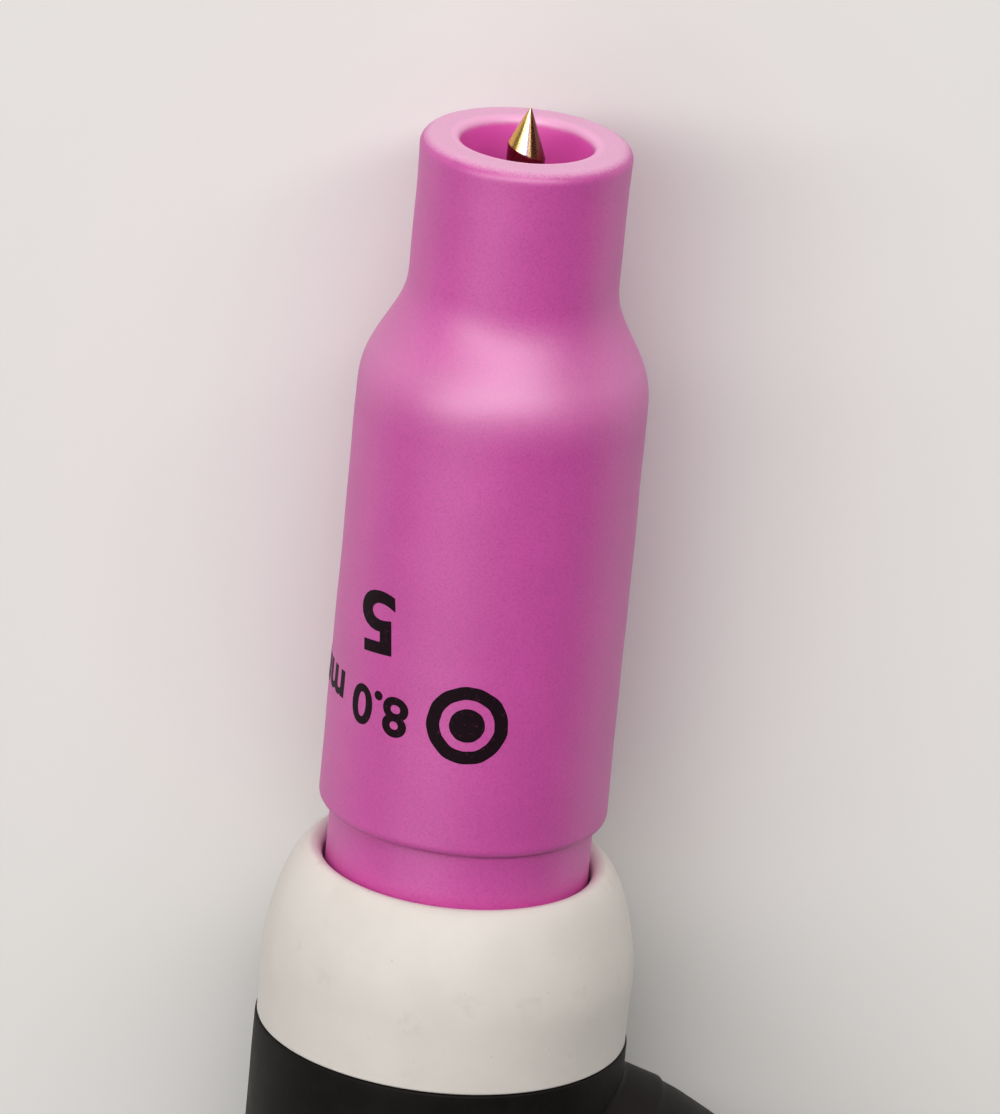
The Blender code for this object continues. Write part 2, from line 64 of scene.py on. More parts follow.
def cornersOf(node):
    # every corner of a CAD node's mesh
    mesh = frame["nodes"][node].data
    points = np.empty(len(mesh.vertices) * 3)
    mesh.vertices.foreach_get("co", points)
    return points.reshape(-1, 3)


joints = {joint["name"]: joint for joint in frame["record"]["behaviour"]["joints"]}
capTurn = joints["cap_turn"]
headAxis = axisAlong(np.array(capTurn["pos_m"]), unit(-np.array(capTurn["axis"])), -1)  # towards the handle
sideways = (cornersOf("cup_gasket") - headAxis["origin"]) @ headAxis["side"]
ringMiddle = (sideways.min() + sideways.max()) / 2  # the joint lies a little beside the turned pieces
headAxis["origin"] = headAxis["origin"] + ringMiddle * headAxis["side"]
handleLow, handleHigh = (np.array(corner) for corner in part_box("handle"))
handleCentre = (handleLow + handleHigh) / 2
crossing = (handleCentre[1] - headAxis["origin"][1]) / headAxis["along"][1]
bend = headAxis["origin"] + crossing * headAxis["along"]
neckAxis = axisAlong(bend, np.array((-1.0, 0.0, 0.0)), 1)  # towards the nozzle


def measure(node, axis=headAxis):
    # rear and front station of a CAD node along an axis, and its largest distance from it, in millimetres
    offset = cornersOf(node) - axis["origin"]
    station = offset @ axis["along"]
    radius = np.linalg.norm(offset - station[:, None] * axis["along"], axis=1)
    return station.min() / mm, station.max() / mm, radius.max() / mm


# Surfaces

def place(axis, radius, angle, station):
    # the point at a station along the axis, a radius from it, at an angle from straight up towards its side
    radial = np.cos(angle)[..., None] * axis["up"] + np.sin(angle)[..., None] * axis["side"]
    return axis["origin"] + mm * (station[..., None] * axis["along"] + radius[..., None] * radial)


def newPiece(name, points, faces):
    # a mesh whose faces are turned outwards, which makes its signed volume positive
    mesh = bpy.data.meshes.new(name)
    mesh.from_pydata(points.tolist(), [], faces)
    work = bmesh.new()
    work.from_mesh(mesh)
    if work.calc_volume(signed=True) < 0:
        mesh.clear_geometry()
        mesh.from_pydata(points.tolist(), [], [face[::-1] for face in faces])
    work.free()
    piece = bpy.data.objects.new(name, mesh)
    bpy.context.collection.objects.link(piece)
    return piece


def addSurface(name, grid, closed=True):
    # a grid of points becomes quads that close round the columns; rows close too, or end in a fan at a pole
    rows, columns = grid.shape[:2]
    index = np.arange(rows * columns).reshape(rows, columns)
    points = grid.reshape(-1, 3)
    below = np.roll(index, -1, axis=0)
    if not closed:
        index, below = index[:-1], below[:-1]
    quads = np.stack((index, np.roll(index, -1, 1), np.roll(below, -1, 1), below), -1).reshape(-1, 4)
    faces = quads.tolist()
    if not closed:
        first, last = index[0], below[-1]
        poles = np.array((points[first].mean(0), points[last].mean(0)))
        count = len(points)
        points = np.vstack((points, poles))
        start = np.stack((np.roll(first, -1), first, np.full(columns, count)), -1)
        end = np.stack((last, np.roll(last, -1), np.full(columns, count + 1)), -1)
        faces += np.vstack((start, end)).tolist()
    piece = newPiece(name, points, faces)
    piece.data.shade_smooth()
    piece.data.set_sharp_from_angle(angle=np.radians(38))
    return piece


def dress(piece, body, material, nodes=()):
    # gives a piece its finish, the body it moves with and the CAD nodes it stands for
    piece.data.materials.append(material)
    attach(piece, body)
    if nodes:
        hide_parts(*nodes)


def roundCorners(corners, steps=5):
    # each corner is (radius, station, rounding): an arc tangent to both sides takes its place
    path = []
    spots = np.array([corner[:2] for corner in corners], float)
    for i, corner in enumerate(corners):
        here = spots[i]
        before, after = unit(spots[i - 1] - here), unit(spots[(i + 1) % len(corners)] - here)
        half = np.arccos(np.clip(before @ after, -1, 1)) / 2
        if corner[2] == 0 or half > np.pi / 2 - 0.01:
            path.append(here)
            continue
        cut = corner[2] / np.tan(half)
        centre = here + unit(before + after) * corner[2] / np.sin(half)
        start, end = here + before * cut - centre, here + after * cut - centre
        sweep = np.arctan2(start[0] * end[1] - start[1] * end[0], start @ end)
        turn = np.linspace(0, sweep, steps)
        path += list(centre + np.outer(np.cos(turn), start) + np.outer(np.sin(turn), (-start[1], start[0])))
    return np.array(path)


def refine(path, spacing, closed=True, fine=()):
    # adds points so that no stretch is longer than the spacing; each fine stretch is (minimum radius, low
    # station, high station, its own spacing)
    ends = np.roll(path, -1, axis=0) if closed else path[1:]
    starts = path if closed else path[:-1]
    for _, low, high, _ in fine:
        cuts = []
        for a, b in zip(starts, ends):
            cuts.append(a)
            for station in sorted((low, high), reverse=b[1] < a[1]):
                t = (station - a[1]) / (b[1] - a[1]) if b[1] != a[1] else -1
                if 0.001 < t < 0.999:
                    cuts.append(a + t * (b - a))
        starts = np.array(cuts)
        ends = np.vstack((starts[1:], ends[-1:]))
    middle = (starts + ends) / 2
    allowed = np.full(len(starts), spacing)
    for minimum, low, high, step in fine:
        within = (middle[:, 0] > minimum) & (middle[:, 1] > low) & (middle[:, 1] < high)
        allowed = np.where(within, np.minimum(allowed, step), allowed)
    counts = np.maximum(1, np.ceil(np.linalg.norm(ends - starts, axis=1) / allowed)).astype(int)
    which = np.repeat(np.arange(len(starts)), counts)
    share = (np.arange(len(which)) - np.repeat(np.cumsum(counts) - counts, counts)) / counts[which]
    path = starts[which] + share[:, None] * (ends - starts)[which]
    return path if closed else np.vstack((path, ends[-1]))


def anglesRound(columns):
    return np.arange(columns) * 2 * np.pi / columns


def ringsOf(outline, columns):
    # radius, angle and station of every point when an outline of (radius, station) goes round an axis
    radius, angle = np.meshgrid(outline[:, 0], anglesRound(columns), indexing="ij")
    return radius, angle, np.repeat(outline[:, 1:2], columns, axis=1)


def turnOutline(name, outline, axis, columns, shape=None, closed=True):
    # carries an outline round an axis; shape changes the radius by station and angle
    radius, angle, station = ringsOf(outline, columns)
    if shape is not None:
        radius = radius + shape(radius, angle, station)
    return addSurface(name, place(axis, radius, angle, station), closed)


def smoothStep(t):
    # 3t^2 - 2t^3, level at 0 and at 1
    t = np.clip(t, 0, 1)
    return t * t * (3 - 2 * t)


def ripple(angle, station, size):
    # slight unevenness of a fired or moulded surface: a few long waves round and along it
    waves = np.sin(3 * angle + 0.31 * station) + np.sin(5 * angle - 0.47 * station + 1.3)
    return size * (waves + np.sin(2 * angle + 1.1 * station + 0.7)) / 3


def uneven(size):
    # a shape whose unevenness only takes away
    return lambda radius, angle, station: ripple(angle, station, size) - size


def fromNearest(angle, count):
    # the angle from the nearest of some lines spaced evenly round
    step = 2 * np.pi / count
    return (angle + step / 2) % step - step / 2


def thread(station, angle, low, high, pitch, depth):
    # a V thread: depth times a triangle wave of station less one pitch a turn, fading in and out at its ends
    phase = (station / pitch - angle / (2 * np.pi)) % 1
    wave = np.clip(1.5 * (1 - np.abs(2 * phase - 1)) - 0.15, 0, 1)
    fade = smoothStep((station - low) / pitch) * smoothStep((high - station) / pitch)
    return -depth * wave * fade


# Materials

def addNode(tree, kind, inputs=None, **settings):
    made = tree.nodes.new("ShaderNode" + kind)
    made.location = (-220 * (len(tree.nodes) % 7), -200 * (len(tree.nodes) // 7))
    for key, value in settings.items():
        setattr(made, key, value)
    for key, value in (inputs or {}).items():
        if isinstance(value, bpy.types.NodeSocket):
            tree.links.new(value, made.inputs[key])
        else:
            made.inputs[key].default_value = value
    return made


def newFinish(name, **sockets):
    material = bpy.data.materials.new(name)
    material.use_nodes = True
    tree = material.node_tree
    shader = tree.nodes["Principled BSDF"]
    for key, value in sockets.items():
        shader.inputs[key.replace("_", " ")].default_value = value
    where = addNode(tree, "TexCoord").outputs["Object"]
    return material, tree, shader, where


def noise(tree, where, size, detail=3, roughness=0.6):
    # a noise pattern whose blotches are about the size given in millimetres
    inputs = {"Vector": where, "Scale": 1 / (size * mm), "Detail": detail, "Roughness": roughness}
    return addNode(tree, "TexNoise", inputs).outputs["Fac"]


def ramp(tree, factor, stops):
    made = addNode(tree, "ValToRGB", {"Fac": factor})
    elements = made.color_ramp.elements
    while len(elements) < len(stops):
        elements.new(0.5)
    for element, (position, colour) in zip(elements, stops):
        element.position = position
        element.color = (*colour, 1) if len(colour) == 3 else colour
    return made.outputs["Color"]


def mixColours(tree, factor, first, second, blend="MIX"):
    made = addNode(tree, "Mix", data_type="RGBA", blend_type=blend)
    sockets = {0: factor, 6: first, 7: second}
    for number, value in sockets.items():
        if isinstance(value, bpy.types.NodeSocket):
            tree.links.new(value, made.inputs[number])
        else:
            made.inputs[number].default_value = value if number == 0 else (*value, 1)
    return made.outputs[2]


def rescale(tree, factor, low, high, fromLow=0.0, fromHigh=1.0):
    inputs = {"Value": factor, "From Min": fromLow, "From Max": fromHigh, "To Min": low, "To Max": high}
    return addNode(tree, "MapRange", inputs).outputs["Result"]


def shade(colour, factor, lift=0.0):
    return tuple(factor * channel + lift for channel in colour)


def setSkin(tree, shader, colour, pattern, rough, height, depth, strength=0.5):
    # base colour, a roughness that follows a pattern, and bump with its depth in millimetres
    tree.links.new(colour, shader.inputs["Base Color"])
    tree.links.new(rescale(tree, pattern, *rough), shader.inputs["Roughness"])
    bump = addNode(tree, "Bump", {"Height": height, "Distance": depth * mm, "Strength": strength})
    tree.links.new(bump.outputs["Normal"], shader.inputs["Normal"])


def calculate(tree, operation, *values):
    return addNode(tree, "Math", dict(enumerate(values)), operation=operation).outputs[0]


def compare(tree, where, axis, operation):
    # the dot or cross product of a point's offset from an axis's origin with the axis, in millimetres
    offset = addNode(tree, "VectorMath", {0: where, 1: tuple(axis["origin"])}, operation="SUBTRACT")
    values = {0: offset.outputs[0], 1: tuple(axis["along"] / mm)}
    return addNode(tree, "VectorMath", values, operation=operation)


def stationOf(tree, where, axis=headAxis):
    # how far along an axis a point is
    return compare(tree, where, axis, "DOT_PRODUCT").outputs["Value"]


def distanceFrom(tree, where, axis=headAxis):
    # how far a point is from an axis, which is the length of the cross product
    across = compare(tree, where, axis, "CROSS_PRODUCT").outputs[0]
    return addNode(tree, "VectorMath", {0: across}, operation="LENGTH").outputs["Value"]


# Nozzle

nozzle = {
    "noseRadius": 6.14,
    "flare": 0.11,
    "noseLength": 8.0,
    "shoulderLength": 7.9,
    "boreRadius": 3.92,
    "rimRound": 0.7,
    "lipRound": 0.38,  # of the bore's edge at the mouth
    "heelRound": 0.45,
    "collarRadius": 7.8,
    "collarLength": 6.0,
    "minorRadius": 6.15,
    "threadPitch": 1.25,
    "threadLength": 11.7,
    "threadDepth": 0.45,
    "chamberRadius": 6.4,
    "unevenness": 0.025,
    "colour": (0.655, 0.052, 0.385),
    "boreColour": (0.92, 0.10, 0.56),  # brighter, as light comes through the thin nose
    # the ground rim's own paler colour, which the painted highlight on the shoulder also mixes towards
    "groundRimAndHighlightColour": (0.95, 0.52, 0.76),
    "paintedHighlight": (16.5, 13.0, 8.5, 0.20),  # depths of the painted highlight band on the shoulder, and how strong it is
    "columns": 256,
}


def nozzleFinish():
    look = nozzle
    material, tree, shader, where = newFinish("firedAlumina", IOR=1.76, Specular_IOR_Level=0.9)
    mouth = measure("alumina_nozzle")[1]
    station = stationOf(tree, where)
    cloud = noise(tree, where, 5.0, 2)
    grain = noise(tree, where, 0.13, 4, 0.7)
    colour = look["colour"]
    body = ramp(tree, cloud, ((0.25, shade(colour, 0.95)), (0.75, shade(colour, 1.04, 0.004))))
    speck = ramp(tree, grain, ((0.34, (0.80, 0.66, 0.79)), (0.50, (1, 1, 1)), (0.70, (1.09, 1.35, 1.10))))
    body = mixColours(tree, 0.9, body, speck, "MULTIPLY")
    # a painted highlight: a paler band across the lower shoulder, mixed towards the ground rim's colour
    start, middle, end, strength = look["paintedHighlight"]
    share = rescale(tree, station, 0.0, 1.0, mouth - start, mouth - end)
    paintedHighlightBand = ((0.0, (0, 0, 0)), ((start - middle) / (start - end), (strength,) * 3), (1.0, (0, 0, 0)))
    body = mixColours(tree, ramp(tree, share, paintedHighlightBand), body, look["groundRimAndHighlightColour"])
    distance = distanceFrom(tree, where)
    inBore = rescale(tree, distance, 1.0, 0.0, look["boreRadius"] + 0.45, look["boreRadius"] + 0.6)
    body = mixColours(tree, inBore, body, look["boreColour"])
    deeper = calculate(tree, "MULTIPLY_ADD", inBore, 0.26, station)
    fuzzy = calculate(tree, "MULTIPLY_ADD", grain, 0.3, deeper)
    ground = rescale(tree, fuzzy, 0.0, 0.75, mouth - 0.13, mouth + 0.16)
    body = mixColours(tree, ground, body, look["groundRimAndHighlightColour"])
    setSkin(tree, shader, body, grain, (0.42, 0.55, 0.3, 0.7), grain, 0.02)
    return material


def nozzleOutline():
    # rim arc, nose, S-shaped shoulder, body, rounded heel, collar, then the threaded inside, chamber and bore
    look = nozzle
    rear, mouth, radius = measure("alumina_nozzle")
    rimRound, lipRound = look["rimRound"], look["lipRound"]
    depth = np.linspace(rimRound, look["noseLength"] + look["shoulderLength"], 60)
    nose = look["noseRadius"] + look["flare"] * np.exp(-depth / 1.4)
    t = np.clip((depth - look["noseLength"]) / look["shoulderLength"], 0, 1)
    swell = t ** 3 * (6 * t * t - 15 * t + 10)
    outer = np.column_stack((nose + (radius - nose) * swell, mouth - depth))
    turn = np.linspace(np.pi / 2, 0, 10)[:-1]
    rim = rimRound * np.column_stack((np.cos(turn) - 1, np.sin(turn) - 1)) + (outer[0, 0], mouth)
    step = rear + look["collarLength"]
    threadEnd = rear + look["threadLength"]
    shoulderEnd = mouth - look["noseLength"] - look["shoulderLength"]
    heel = roundCorners([
        (radius, mouth, 0), (radius, step, look["heelRound"]),
        (look["collarRadius"], step, 0.22), (look["collarRadius"], rear, 0.5),
        (look["minorRadius"], rear, 0.4), (look["minorRadius"], threadEnd, 0.2),
        (look["chamberRadius"], threadEnd + 0.5, 0.2),
        (look["chamberRadius"], shoulderEnd - 3, 0.8), (look["boreRadius"], shoulderEnd + 1, 0.8),
        (look["boreRadius"], mouth, lipRound), (look["boreRadius"] + lipRound + 0.05, mouth, 0),
    ])[1:]
    return refine(np.vstack((rim, outer, heel)), 0.5, fine=((0, rear, threadEnd + 0.3, 0.2),))


def nozzleShape(radius, angle, station):
    look = nozzle
    rear = measure("alumina_nozzle")[0]
    threadEnd = rear + look["threadLength"]
    onThread = (radius < look["minorRadius"] + 0.05) & (station < threadEnd + 0.1)
    cut = -thread(station, angle, rear + 0.3, threadEnd - 0.2, look["threadPitch"], look["threadDepth"])
    return np.where(onThread, cut, ripple(angle, station, look["unevenness"]))


def makeNozzle():
    piece = turnOutline("nozzleShell", nozzleOutline(), headAxis, nozzle["columns"], nozzleShape)
    dress(piece, "nozzle", nozzleFinish(), ["alumina_nozzle"])
    print("nozzle made")


# Ink marks, wrapped on the nozzle

inkMarks = {
    "lift": 0.012,
    "colour": (0.006, 0.003, 0.004),
    "wornColours": ((0.012, 0.004, 0.008), (0.20, 0.03, 0.11)),
    "sizeDigit": {"text": "5", "height": 3.85, "stretch": 1.22, "angle": -44.2, "depth": 28.3, "lean": 7.0},
    "boreText": {"text": "8.0 mm", "height": 2.5, "stretch": 1.1, "angle": -25.3, "depth": 33.7, "lean": 0.0},
    "symbol": {"outer": 2.42, "ring": 1.62, "inner": 1.05, "angle": -1.2, "depth": 33.3},
}


def inkFinish():
    material, tree, shader, where = newFinish("stampedInk", Specular_IOR_Level=0.1)
    wear = noise(tree, where, 0.22, 4, 0.7)
    thin, bare = inkMarks["wornColours"]
    tone = ramp(tree, wear, ((0.0, inkMarks["colour"]), (0.62, thin), (0.78, bare)))
    tree.links.new(tone, shader.inputs["Base Color"])
    tree.links.new(rescale(tree, wear, 0.4, 0.65), shader.inputs["Roughness"])
    return material


def wrapOnNozzle(points, mark, height):
    # flat ink coordinates, in millimetres, go round the nozzle: x by angle, y along it towards the collar
    mouth, radius = measure("alumina_nozzle")[1:]
    lean = np.radians(mark.get("lean", 0))
    x = points[:, 0] * np.cos(lean) - points[:, 1] * np.sin(lean)
    y = points[:, 0] * np.sin(lean) + points[:, 1] * np.cos(lean)
    station = mouth - mark["depth"] - y
    angle = np.radians(mark["angle"]) - x / radius
    shell = radius + ripple(angle, station, nozzle["unevenness"]) + height
    return place(headAxis, shell, angle, station)


def inkSheet(name, flat, faces, mark):
    # a flat shape wrapped on the nozzle twice, at its skin and just above, and sewn shut round its edge
    count = len(flat)
    points = np.vstack((wrapOnNozzle(flat, mark, -0.01), wrapOnNozzle(flat, mark, inkMarks["lift"])))
    edges = np.vstack([np.stack((faces[:, i], faces[:, (i + 1) % 3]), -1) for i in range(3)])
    keys = edges[:, 0] * count + edges[:, 1]
    mirror = edges[:, 1] * count + edges[:, 0]
    rim = edges[~np.isin(mirror, keys)]
    walls = np.column_stack((rim[:, 0], rim[:, 1], rim[:, 1] + count, rim[:, 0] + count))
    every = faces[:, ::-1].tolist() + (faces + count).tolist() + walls.tolist()
    return newPiece(name, points, every)


def letterShape(text, height, slice=0.25):
    # the flat mesh of some letters: lower left corner at the origin, cut into slices so that it can bend
    curve = bpy.data.curves.new("letters", "FONT")
    curve.body = text
    curve.size = height * 1.37
    curve.offset = 0.036 * height
    curve.resolution_u = 6
    holder = bpy.data.objects.new("letters", curve)
    bpy.context.collection.objects.link(holder)
    bpy.context.view_layer.update()
    mesh = bpy.data.meshes.new_from_object(holder.evaluated_get(bpy.context.evaluated_depsgraph_get()))
    bpy.data.objects.remove(holder)
    work = bmesh.new()
    work.from_mesh(mesh)
    bmesh.ops.remove_doubles(work, verts=work.verts, dist=0.0005)
    spots = np.array([vertex.co.xy[:] for vertex in work.verts])
    low, high = spots.min(0), spots.max(0)
    for cut in np.arange(low[0] + slice, high[0], slice):
        everything = work.verts[:] + work.edges[:] + work.faces[:]
        bmesh.ops.bisect_plane(work, geom=everything, plane_co=(cut, 0, 0), plane_no=(1, 0, 0), dist=0.0001)
    bmesh.ops.triangulate(work, faces=work.faces[:])
    flat = np.array([vertex.co.xy[:] for vertex in work.verts]) - low
    faces = np.array([[corner.index for corner in face.verts] for face in work.faces])
    work.free()
    return flat * (height / (high - low)[1]), faces


def ringShape(inner, outer, columns=72, rows=6):
    # a flat ring, or a disc when its inner radius is nothing
    radius, angle = ringsOf(np.linspace((max(inner, 0.02), 0), (outer, 0), rows), columns)[:2]
    wobble = 1 + 0.006 * np.sin(7 * angle) + 0.005 * np.sin(13 * angle + 1)
    flat = np.stack((radius * np.cos(angle) * wobble, radius * np.sin(angle) * wobble), -1).reshape(-1, 2)
    index = np.arange(rows * columns).reshape(rows, columns)
    here, there = index[:-1], index[1:]
    first = np.stack((here, there, np.roll(there, -1, 1)), -1).reshape(-1, 3)
    second = np.stack((here, np.roll(there, -1, 1), np.roll(here, -1, 1)), -1).reshape(-1, 3)
    faces = np.vstack((first, second))
    if inner == 0:
        flat = np.vstack((flat, (0, 0)))
        hub = np.stack((index[0], np.roll(index[0], -1), np.full(columns, len(flat) - 1)), -1)
        faces = np.vstack((faces, hub))
    return flat, faces


def makeInk():
    ink = inkFinish()
    for name in ("sizeDigit", "boreText"):
        mark = inkMarks[name]
        flat, faces = letterShape(mark["text"], mark["height"])
        flat = flat * (mark["stretch"], 1)
        shift = flat[:, 0].max() / 2 if name == "sizeDigit" else 0
        piece = inkSheet(name + "Ink", flat - (shift, mark["height"] / 2), faces, mark)
        dress(piece, "nozzle", ink)
    symbol = inkMarks["symbol"]
    for name, inner, outer in (("Ring", symbol["ring"], symbol["outer"]), ("Disc", 0, symbol["inner"])):
        piece = inkSheet("symbol" + name + "Ink", *ringShape(inner, outer), symbol)
        dress(piece, "nozzle", ink)
    print("ink marks made")


# Gasket

gasket = {
    "lipInner": 8.02,
    "lipCrest": 8.72,  # radius of the lip's highest line
    "lipHeight": 0.65,
    "fullStation": 4.0,
    "pulls": (7.0, 9.65),  # where the outside's curve leaves upright, and where it lies down
    "lean": 0.12,  # the lip is this much lower on the side that faces up
    "inset": 0.04,  # from the head's skin
    "seatGap": 0.15,  # behind the nozzle
    "boreRadius": 6.4,
    "hollow": (7.2, 3.2),  # radius and depth of the hollow that the head's boss fills
    "columns": 224,
    "unevenness": 0.03,
    "colour": (0.80, 0.755, 0.70),
    "stainColour": (0.60, 0.50, 0.40),
    "dirtColour": (0.20, 0.14, 0.10),
}


def gasketFinish():
    look = gasket
    material, tree, shader, where = newFinish("mouldedPtfe", Roughness=0.5)
    cloud = noise(tree, where, 4.5, 3, 0.55)
    patch = noise(tree, where, 2.2, 4, 0.6)
    fleck = noise(tree, where, 0.35, 2, 0.5)
    base = ramp(tree, cloud, ((0.35, shade(look["colour"], 0.95)), (0.65, look["colour"])))
    stain = ramp(tree, patch, ((0.60, (0, 0, 0)), (0.80, (0.38, 0.38, 0.38))))
    base = mixColours(tree, stain, base, look["stainColour"])
    dirt = ramp(tree, fleck, ((0.755, (0, 0, 0)), (0.80, (0.6, 0.6, 0.6))))
    base = mixColours(tree, dirt, base, look["dirtColour"])
    shader.inputs["Subsurface Weight"].default_value = 0.12
    shader.inputs["Subsurface Radius"].default_value = (1.0, 0.9, 0.8)
    shader.inputs["Subsurface Scale"].default_value = 0.0008
    grain = noise(tree, where, 0.3, 4, 0.65)
    setSkin(tree, shader, base, grain, (0.42, 0.60, 0.3, 0.7), grain, 0.02)
    return material


def makeGasket():
    # the outside is a cubic Bezier curve from the head's skin to the lip's crest, and the lip half an ellipse
    look = gasket
    front, radius = measure("cup_gasket")[1:]
    radius -= look["inset"]
    seat = measure("alumina_nozzle")[0] - look["seatGap"]
    hollowRadius, hollowDepth = look["hollow"]
    t = np.linspace(0, 1, 40)[:, None]
    lower, upper = look["pulls"]
    crest = look["lipCrest"]
    pulls = np.array([(radius, look["fullStation"]), (radius, lower), (upper, front), (crest, front)])
    weights = (1 - t) ** 3, 3 * t * (1 - t) ** 2, 3 * t ** 2 * (1 - t), t ** 3
    outer = sum(weight * pull for weight, pull in zip(weights, pulls))
    turn = np.linspace(np.pi / 2, np.pi, 12)[1:]
    lipBase = front - look["lipHeight"]
    half = crest - look["lipInner"]
    lip = np.column_stack((crest + half * np.cos(turn), lipBase + look["lipHeight"] * np.sin(turn)))
    bore = roundCorners([
        (look["lipInner"], lipBase - 0.6, 0), (look["lipInner"], seat, 0.3),
        (look["boreRadius"], seat, 0.25), (look["boreRadius"], hollowDepth, 0.1),
        (hollowRadius, hollowDepth, 0.1), (hollowRadius, 0.05, 0.2),
        (radius, 0.02, 0.12),
    ])
    outline = refine(np.vstack((outer, lip, bore)), 0.35)
    radius, angle, station = ringsOf(outline, look["columns"])
    high = smoothStep((station - look["fullStation"]) / 6)
    station = station - look["lean"] * (1 + np.cos(angle)) / 2 * high
    radius = radius + ripple(angle, station, look["unevenness"]) - look["unevenness"]
    piece = addSurface("gasketRing", place(headAxis, radius, angle, station))
    dress(piece, "torch_body", gasketFinish(), ["cup_gasket"])
    print("gasket made")


# Electrode

electrode = {
    "radius": 1.13,
    "pointLength": 2.55,
    "slant": 0.42,  # the grinding reaches this much further down the handle's side, and less down the other
    "flatRadius": 0.07,
    "heatStain": (14.0, 8.0),  # how far behind the tip it starts and is full
    "bare": (0.34, 0.27, 0.24),
    "shaft": (0.24, 0.060, 0.060),  # heat stain below the ground point
    "heatTintAndPaintedLight": (  # round the ground point, from the side away from the handle to the side towards it: heat colours with a painted highlight, painted reflection and painted shade towards the handle's side
        (0.0, (0.80, 0.40, 0.14)), (0.20, (0.90, 0.60, 0.16)), (0.40, (0.98, 0.86, 0.74)),
        (0.50, (0.30, 0.25, 0.36)), (0.58, (0.50, 0.32, 0.14)), (0.68, (0.26, 0.10, 0.06)),
        (1.0, (0.17, 0.045, 0.04)),
    ),
}


def electrodeFinish():
    look = electrode
    material, tree, shader, where = newFinish("groundTungsten", Metallic=1.0)
    tip = measure("tungsten_electrode")[1]
    station = stationOf(tree, where)
    across = stationOf(tree, where, {**headAxis, "along": headAxis["side"]})
    distance = distanceFrom(tree, where)
    share = calculate(tree, "DIVIDE", across, distance)
    foot = calculate(tree, "MULTIPLY_ADD", share, -look["slant"], tip - look["pointLength"])
    above = calculate(tree, "SUBTRACT", station, foot)
    # heat stain round the point, with a painted highlight, painted reflection and painted shade on the handle's
    # side
    heatAndPaintedLight = ramp(tree, rescale(tree, share, 0.0, 1.0, -1.0, 1.0), look["heatTintAndPaintedLight"])
    heatAndPaintedLight = mixColours(tree, rescale(tree, above, 0.0, 1.0, -0.06, 0.06), look["shaft"], heatAndPaintedLight)
    start, full = look["heatStain"]
    fade = rescale(tree, station, 0.0, 1.0, tip - start, tip - full)
    colour = mixColours(tree, fade, look["bare"], heatAndPaintedLight)
    scratches = noise(tree, where, 0.07, 3, 0.7)
    setSkin(tree, shader, colour, scratches, (0.16, 0.36, 0.3, 0.7), scratches, 0.006)
    return material


def makeElectrode():
    # a rod whose end is ground to a cone; the cone's foot is a slanted line and the grinding leaves facets
    look = electrode
    tail, tip = measure("tungsten_electrode")[:2]
    full, flat = look["radius"], look["flatRadius"]
    foot = tip - look["pointLength"] - look["slant"] - 0.2
    rest = roundCorners([(full, foot, 0), (full, tail, 0.2), (0.1, tail, 0)])
    point = np.column_stack((np.full(90, full), np.linspace(tip, foot, 90)))
    outline = np.vstack(((0.02, tip), point[:-1], refine(rest, 1.5, False)))

    def grind(radius, angle, station):
        length = look["pointLength"] + look["slant"] * np.sin(angle)
        cone = flat + (full - flat) * (tip - station) / length
        facets = 0.010 * np.abs(np.sin(9 * angle + 0.8 * np.sin(4 * angle)))
        facets = facets * smoothStep((tip - station) / 0.5)
        onPoint = (station > foot) & (radius > flat)
        return np.where(onPoint, np.minimum(cone - facets, full) - radius, 0)

    piece = turnOutline("electrodeRod", outline, headAxis, 96, grind, False)
    dress(piece, "electrode", electrodeFinish(), ["tungsten_electrode"])
    print("electrode made")


# Head and neck cover

cover = {
    "rootRadius": 8.92,
    "rootStation": 13.0,
    "endRadius": 7.0,
    "taperEnd": 36.0,
    "bead": (10.5, 0.16, 0.35),  # station, height and softness of the step that ends the root
    "landSlope": 0.19,  # how much the root thins towards the head
    "crookFillet": 5.0,
    "collarRadius": 8.8,
    "collarLength": 3.0,
    "tubeRadius": 5.05,
    "coreRadius": 8.3,
    "bossRadius": 7.3,
    "bossStation": -1.2,
    "capMouth": 7.35,
    "capLip": 0.75,  # length of the narrow mouth round the back cap
    "barrelColumns": 224,
    "neckColumns": 160,
    "colour": (0.0042, 0.0030, 0.0026),
}


def rubberFinish():
    look = cover
    material, tree, shader, where = newFinish("siliconeRubber", Specular_IOR_Level=0.16)
    dust = noise(tree, where, 6.0, 4, 0.65)
    grain = noise(tree, where, 0.22, 3, 0.6)
    tone = ramp(tree, dust, ((0.42, look["colour"]), (0.80, shade(look["colour"], 2.0, 0.004))))
    setSkin(tree, shader, tone, dust, (0.48, 0.70, 0.3, 0.75), grain, 0.03)
    return material


def makeBarrel(material):
    look = cover
    barrelRadius = measure("cup_gasket")[2]
    end = measure("head_core")[0] - 1.0
    lip = end + look["capLip"]
    outline = refine(roundCorners([
        (barrelRadius, -0.02, 0.12), (barrelRadius - 0.02, end * 0.55, 4.0),
        (barrelRadius - 0.4, end, 1.1), (look["capMouth"], end, 0.3),
        (look["capMouth"], lip, 0.1), (look["coreRadius"], lip, 0.1),
        (look["coreRadius"], look["bossStation"], 0.1),
        (look["bossRadius"], look["bossStation"], 0.1), (look["bossRadius"], -0.02, 0.1),
    ]), 0.5)
    piece = turnOutline("headBarrel", outline, headAxis, look["barrelColumns"], uneven(0.02))
    dress(piece, "torch_body", material, ["head_cover"])
    return barrelRadius


